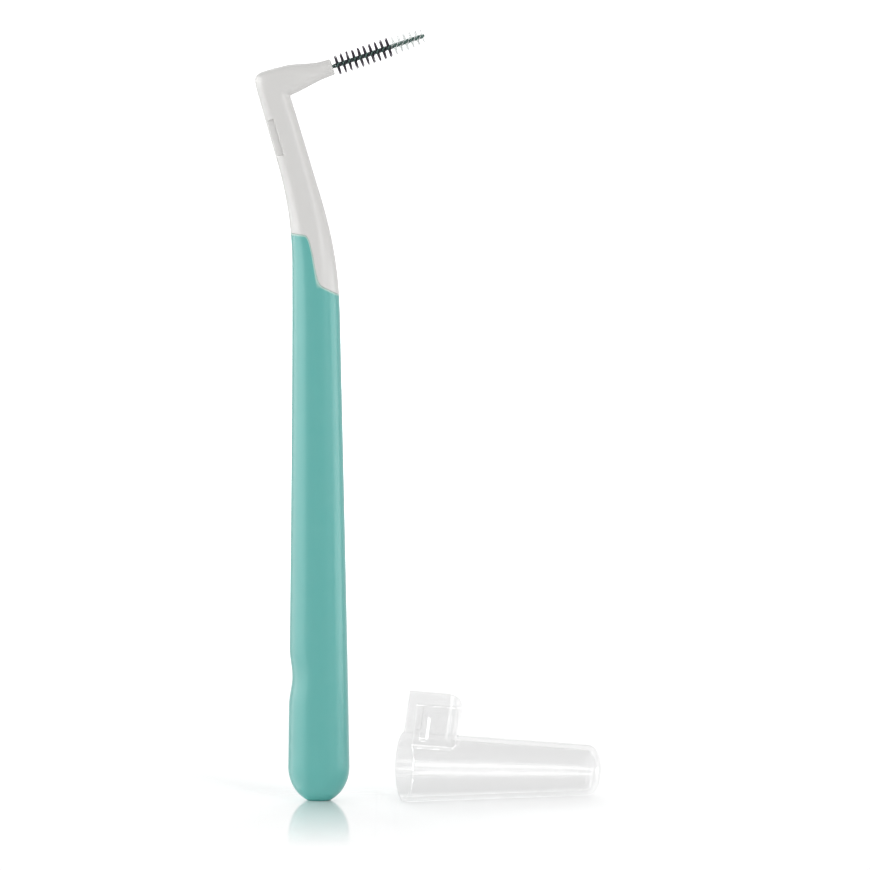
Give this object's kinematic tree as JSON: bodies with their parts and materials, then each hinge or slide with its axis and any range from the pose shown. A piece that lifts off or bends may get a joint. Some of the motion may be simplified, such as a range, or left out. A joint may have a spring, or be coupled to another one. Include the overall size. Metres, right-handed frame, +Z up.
{
  "type": "interdental brush",
  "caption": "Angled interdental brush: soft grip over a plastic core, bent neck, twisted-wire brush with dark and clear bristles, and a clear hooded travel cap lying beside it.",
  "frame": {"origin": "centre of the small flat on the handle's tail, which the brush stands on", "axes": "+Z up along the handle, +X to the right towards the brush head, +Y away from the viewer, square to the bend of the neck"},
  "size_m": [0.0502, 0.0162, 0.1124],
  "materials": {
    "grip": "sea-green satin plastic",
    "neck": "white satin plastic",
    "wire": "steel with a thin pale green plastic coat",
    "dark_bristle": "near-black filament",
    "clear_bristle": "clear filament",
    "cap": "clear moulded plastic"
  },
  "bodies": {
    "brush": {"grip": "grip", "neck_and_core": "neck", "wire": "wire", "dark_bristles": "dark_bristle", "clear_bristles": "clear_bristle"},
    "cap": {"cap": "cap"}
  },
  "joints": [
    {"name": "cap_slide", "type": "slide", "parent": "brush", "child": "cap", "axis": [0.9659, 0.2588, 0], "range_m": [0, 0.027]}
  ]
}
